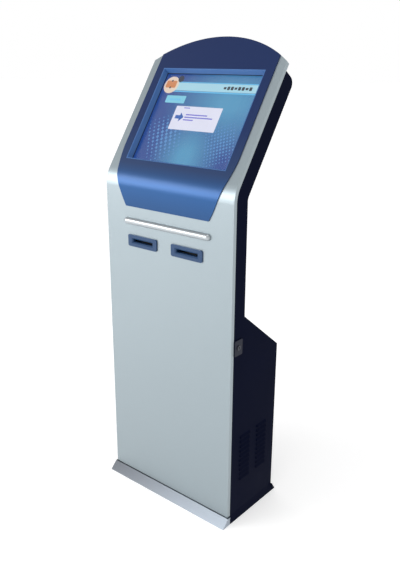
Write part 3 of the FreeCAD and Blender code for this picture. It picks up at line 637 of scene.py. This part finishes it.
# ---------------------------------------------------------------------------
# Touch glass: a clear sheet of hardened glass, bonded to the front of the
# display round its edge and faintly smeared by fingers.
glass, tree, shader, own = start_finish("touch_glass", (0.97, 0.985, 1.0), 0.0, 0.02)
shader.inputs["Transmission Weight"].default_value = 1.0
shader.inputs["IOR"].default_value = 1.30
smear = noise_node(tree, own, 9.0, 4.0, 0.6)
rough = math_node(tree, "MULTIPLY", smear, 0.05)
tree.links.new(rough, shader.inputs["Roughness"])
dress(glass, "touch_glass")

# ---------------------------------------------------------------------------
# Seals: soft black foam strips that ride with the door. One closes the rear edge of
# the screen surround against the touch glass, the other lines the back of its flange.
def ring_strip(name, outer, inner, depths, finish, body):
    """Closed strip on the head: a frame between two outlines and two depths."""
    count = len(outer)
    verts = [on_head(x, s, t) for t in depths for line in (outer, inner) for x, s in line]
    faces = []
    for k in range(count):
        n = (k + 1) % count
        a, b, c, d = (row * count + k for row in range(4))
        an, bn, cn, dn = (row * count + n for row in range(4))
        faces += [(a, an, bn, b), (c, d, dn, cn), (a, c, cn, an), (b, bn, dn, d)]
    piece = add_piece(name, verts, faces, finish, body)
    shell = bmesh.new()
    shell.from_mesh(piece.data)
    bmesh.ops.recalc_face_normals(shell, faces=shell.faces)
    shell.to_mesh(piece.data)
    shell.free()
    return piece


foam = plain_finish("seal_foam", (0.012, 0.012, 0.014), 0.85, (2200.0, 0.8), (40.0, 0.2), (0.0001, 0.8))
seal = ring_strip(
    "glass_seal", window_outline(0.0005, 0.002), window_outline(-0.0070, 0.002),
    depths=(0.0131, 0.0149), finish=foam, body="door")
backing = ring_strip(
    "surround_gasket", window_outline(0.0178, 0.003), window_outline(0.0032, 0.002),
    depths=(0.0046, 0.0066), finish=foam, body="door")

# ---------------------------------------------------------------------------
# Printer parts: cast heads, brass pinions on the motors, white moulded gears,
# ground black rubber on the platens and rolls of smooth white ticket paper.
cast = metal_finish("cast_head", (0.52, 0.53, 0.55), 0.45, 700.0, 0.25, 0.1)
dress(cast, "print_head_left", "print_head_right")
brass = metal_finish("pinion_brass", (0.72, 0.52, 0.20), 0.30, 500.0, 0.12, 0.1)
dress(brass, "motor_pinion_left", "motor_pinion_right")
gear_white = plain_finish("gear_white", (0.78, 0.78, 0.74), 0.4, (300.0, 0.06), (40.0, 0.08))
dress(gear_white, "platen_gear_left", "platen_gear_right")
rubber = plain_finish(
    "platen_rubber", (0.022, 0.022, 0.022), 0.75, (1800.0, 0.8), (60.0, 0.2), (0.00006, 0.7))
dress(rubber, "platen_roller_left", "platen_roller_right")
paper_tone = (0.86, 0.85, 0.80)
ring_rate = 9000.0
paper, tree, shader, own = start_finish("ticket_paper", paper_tone, 0.0, 0.7)
roll_low, roll_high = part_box("paper_roll_left")
roll_axis = (roll_low + roll_high) / 2
split = tree.nodes.new("ShaderNodeSeparateXYZ")
tree.links.new(own, split.inputs[0])
dy = math_node(tree, "SUBTRACT", split.outputs["Y"], roll_axis.y)
dz = math_node(tree, "SUBTRACT", split.outputs["Z"], roll_axis.z)
square = math_node(tree, "ADD", math_node(tree, "MULTIPLY", dy, dy), math_node(tree, "MULTIPLY", dz, dz))
rings = math_node(tree, "SINE", math_node(tree, "MULTIPLY", math_node(tree, "SQRT", square), ring_rate))
shade, height = tone(tree, own, paper_tone, 900.0, 0.05, 30.0, 0.05)
tree.links.new(shade, shader.inputs["Base Color"])
bump_node(tree, shader, rings, 0.00004, 0.5)
dress(paper, "paper_roll_left", "paper_roll_right")

# ---------------------------------------------------------------------------
# Paper webs: the loose end of each roll. The paper leaves the back of the roll,
# rises, turns forward under the print head and stops short of the outlet.
web_thick = 0.0001
web_margin = 0.0005
turn_r = 0.0085
turn_y = front + 0.0378
outlet_y = front + 0.0155
turn_steps = 8
leave = math.radians(12)
for side in ("left", "right"):
    low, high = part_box("paper_roll_" + side)
    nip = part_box("platen_roller_" + side)[1].z + 0.0002
    roll_y, roll_z = (low.y + high.y) / 2, (low.z + high.z) / 2
    reach = (high.y - low.y) / 2 + web_thick
    run = [(roll_y + reach * math.cos(leave), roll_z + reach * math.sin(leave))]
    for k in range(turn_steps + 1):
        a = leave + (math.pi / 2 - leave) * k / turn_steps
        run.append((turn_y + turn_r * math.cos(a), nip - turn_r + turn_r * math.sin(a)))
    run.append((outlet_y, nip))
    verts = [Vector((x, y, z)) for y, z in run for x in (low.x + web_margin, high.x - web_margin)]
    faces = [(2 * k, 2 * k + 1, 2 * k + 3, 2 * k + 2) for k in range(len(run) - 1)]
    web = add_piece("paper_web_" + side, verts, faces, paper, "cabinet")
    leaf = web.modifiers.new("leaf", "SOLIDIFY")
    leaf.thickness = web_thick
    leaf.offset = 0.0

# ---------------------------------------------------------------------------
# Computer and power supply: closed steel boxes in a grey textured coat that
# stand on the shelf and are held by its side edges.
grey = plain_finish("grey_case", (0.11, 0.115, 0.125), 0.5, (1100.0, 0.4), (12.0, 0.15), (0.0001, 0.6))
dress(grey, "computer_case", "power_supply")

# ---------------------------------------------------------------------------
# Ribs on the fronts of the computer and the power supply: a row of black nylon
# bars with bevelled ends, clipped into the steel.
def rib_tree(finish):
    """Geometry Nodes: a row of bevel-ended bars, their number and sizes as inputs."""
    group, given, result = start_tree("rib_row", ("Count",), ("Pitch", "Length", "Width", "Depth"))
    step = group.nodes.new("ShaderNodeCombineXYZ")
    group.links.new(given.outputs["Pitch"], step.inputs["X"])
    row = group.nodes.new("GeometryNodeMeshLine")
    group.links.new(given.outputs["Count"], row.inputs["Count"])
    group.links.new(step.outputs[0], row.inputs["Offset"])
    bar = group.nodes.new("GeometryNodeMeshCylinder")
    bar.inputs["Vertices"].default_value = 8
    bar.inputs["Radius"].default_value = 0.5
    bar.inputs["Depth"].default_value = 1.0
    size = group.nodes.new("ShaderNodeCombineXYZ")
    group.links.new(given.outputs["Width"], size.inputs["X"])
    group.links.new(given.outputs["Length"], size.inputs["Y"])
    group.links.new(given.outputs["Depth"], size.inputs["Z"])
    repeat_shape(group, result, row.outputs["Mesh"], bar.outputs["Mesh"], finish, size.outputs[0])
    return group


ribs = rib_tree(black)
for name, node, start, count, rise, long in (
        ("computer_ribs", "computer_case", 0.014, 22, 0.020, 0.034),
        ("supply_ribs", "power_supply", 0.030, 16, 0.028, 0.036)):
    low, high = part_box(node)
    stand = Matrix.Translation((low.x + start, low.y, low.z + rise)) @ Matrix.Rotation(math.pi / 2, 4, "X")
    piece = grow(
        name, ribs, {"Count": count, "Pitch": 0.0066, "Length": long, "Width": 0.0034, "Depth": 0.0016},
        black, stand, "cabinet")

# ---------------------------------------------------------------------------
# Front door: one folded steel pan in silver metallic paint. Fine flakes under a
# thin clear coat give a soft sheen; the tone drifts a little over the panel.
silver_tone = (0.325, 0.382, 0.412)
silver, tree, shader, own = start_finish("silver_paint", silver_tone, 0.78, 0.40)
shade, height = tone(tree, own, silver_tone, 1600.0, 0.22, 1.6, 0.06)
# The lower part of the panel is mixed toward a darker grey in cloudy patches, strongest at the floor.
shade = mix_colour(tree, floor_patch_mask(tree, own, 0.35, 0.30), shade, (0.28, 0.32, 0.34))
tree.links.new(shade, shader.inputs["Base Color"])
shader.inputs["Coat Weight"].default_value = 0.10
shader.inputs["Coat Roughness"].default_value = 0.22
bump_node(tree, shader, height, 0.00003, 0.35)
dress(silver, "front_door")

# ---------------------------------------------------------------------------
# Fascia: blue sheet bonded over the door, under a smooth satin lacquer. Its colour is painted
# darker toward the crest, with a painted highlight band just below the bend.
blue, tree, shader, own = start_finish("fascia_blue", (0.02, 0.04, 0.14), 0.3, 0.34)
split = tree.nodes.new("ShaderNodeSeparateXYZ")
tree.links.new(own, split.inputs[0])
# Painted light: a colour ramp up the height darkens the blue toward the crest and lays a painted highlight
# band just below the bend.
painted_light_height = tree.nodes.new("ShaderNodeMapRange")
painted_light_height.inputs["From Min"].default_value = 0.99
painted_light_height.inputs["From Max"].default_value = 1.50
tree.links.new(split.outputs["Z"], painted_light_height.inputs["Value"])
ramp = tree.nodes.new("ShaderNodeValToRGB")
tree.links.new(painted_light_height.outputs[0], ramp.inputs[0])
painted_light_stops = ramp.color_ramp.elements
painted_light_stops[0].position, painted_light_stops[0].color = 0.0, (0.014, 0.066, 0.19, 1)
painted_light_stops[1].position, painted_light_stops[1].color = 1.0, (0.005, 0.020, 0.092, 1)
for place, colour in (
        (0.16, (0.018, 0.092, 0.27)), (0.27, (0.022, 0.048, 0.13)), (0.5, (0.009, 0.026, 0.105))):
    stop = painted_light_stops.new(place)
    stop.color = (*colour, 1)
shade, height = tone(tree, own, ramp.outputs["Color"], 1500.0, 0.12, 3.0, 0.05)
tree.links.new(shade, shader.inputs["Base Color"])
shader.inputs["Specular IOR Level"].default_value = 0.25
shader.inputs["Coat Weight"].default_value = 0.12
shader.inputs["Coat Roughness"].default_value = 0.2
dress(blue, "fascia")

# ---------------------------------------------------------------------------
# Screen surround and ticket bezels: blue moulded plastic, smooth and glossy,
# pushed through the door from the front or held behind it by a flange.
def blue_plastic(name, colour):
    """Glossy moulded plastic in one blue, with the faint texture of its tool."""
    return plain_finish(name, colour, 0.30, (700.0, 0.08), (8.0, 0.08), (0.00002, 0.4), specular=0.35)


dress(blue_plastic("surround_blue", (0.055, 0.145, 0.37)), "screen_surround")
dress(blue_plastic("bezel_blue", (0.018, 0.056, 0.140)), "ticket_bezel_left", "ticket_bezel_right")

# ---------------------------------------------------------------------------
# Front bar: solid half-round aluminium with rounded ends, satin anodised and
# brushed along its length, held by studs through the door.
bar, tree, shader, own = start_finish("bar_aluminium", (0.45, 0.47, 0.49), 0.9, 0.30)
strokes = noise_node(tree, stretch_node(tree, own, (4.0, 500.0, 500.0)), 1.0, 3.0, 0.6)
shade = mix_colour(tree, math_node(tree, "MULTIPLY", strokes, 0.3), (0.46, 0.49, 0.51), (0.36, 0.39, 0.42))
tree.links.new(shade, shader.inputs["Base Color"])
bump_node(tree, shader, strokes, 0.00003, 0.4)
dress(bar, "front_bar")

# ---------------------------------------------------------------------------
# Side lock: dark coated plate over a steel barrel, with a bright turned plug
# whose slot takes a flat key.
plate = plain_finish(
    "lock_plate", (0.008, 0.010, 0.024), 0.42, (800.0, 0.4), (20.0, 0.2), (0.00004, 0.5),
    metallic=0.2, specular=0.2)
dress(plate, "lock_housing")
chrome = metal_finish("lock_nickel", (0.060, 0.062, 0.075), 0.25, 300.0, 0.05, 0.05)
dress(chrome, "lock_plug")

# ---------------------------------------------------------------------------
# Nuts inside the door, on the studs that hold the screen surround, the bar and
# the ticket bezels. Plated steel, hexagonal, each with its stud showing.
def nut_tree(finish):
    """Geometry Nodes: a hexagon nut with a stud end at every given point."""
    group, given, result = start_tree(
        "nuts_on_points", (), ("Nut Radius", "Nut Height", "Stud Radius", "Stud Height"))
    both = group.nodes.new("GeometryNodeJoinGeometry")
    for sides, kind in ((6, "Nut"), (12, "Stud")):
        turned = group.nodes.new("GeometryNodeMeshCylinder")
        turned.inputs["Vertices"].default_value = sides
        group.links.new(given.outputs[kind + " Radius"], turned.inputs["Radius"])
        group.links.new(given.outputs[kind + " Height"], turned.inputs["Depth"])
        lift = group.nodes.new("ShaderNodeCombineXYZ")
        group.links.new(math_node(group, "MULTIPLY", given.outputs[kind + " Height"], 0.5), lift.inputs["Z"])
        raised = group.nodes.new("GeometryNodeTransform")
        group.links.new(turned.outputs["Mesh"], raised.inputs["Geometry"])
        group.links.new(lift.outputs[0], raised.inputs["Translation"])
        group.links.new(raised.outputs[0], both.inputs[0])
    repeat_shape(group, result, given.outputs["Geometry"], both.outputs[0], finish)
    return group


nuts = nut_tree(steel)
nut_sizes = {"Nut Radius": 0.0040, "Nut Height": 0.0032, "Stud Radius": 0.0020, "Stud Height": 0.0052}
flange_back = 0.0045
flange_side = window_half + 0.0105
rows = (window_low - 0.0097, window_high + 0.0098)
places = [(x, s) for s in rows for x in (-0.18, -0.06, 0.06, 0.18)]
places += [(x, s) for x in (-flange_side, flange_side) for s in (0.11, 0.226, 0.342)]
behind_flange = head_place(0, 0, flange_back) @ Matrix.Rotation(math.pi, 4, "Y")
piece = grow("surround_nuts", nuts, nut_sizes, steel, behind_flange, "door", places)
bezel_inset = 0.009
bar_inset = 0.03
door_sheet = 0.0020
bezel_low, bezel_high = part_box("ticket_bezel_left")
other_low, other_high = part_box("ticket_bezel_right")
level = (bezel_low.z + bezel_high.z) / 2
places = [(x, level) for low, high in ((bezel_low, bezel_high), (other_low, other_high))
          for x in (low.x + bezel_inset, high.x - bezel_inset)]
bar_low, bar_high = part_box("front_bar")
places += [(x, (bar_low.z + bar_high.z) / 2) for x in (bar_low.x + bar_inset, bar_high.x - bar_inset)]
behind_door = Matrix.Translation((0, front + door_sheet, 0)) @ Matrix.Rotation(-math.pi / 2, 4, "X")
piece = grow("trim_nuts", nuts, nut_sizes, steel, behind_door, "door", [(x, -z) for x, z in places])

low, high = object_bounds()
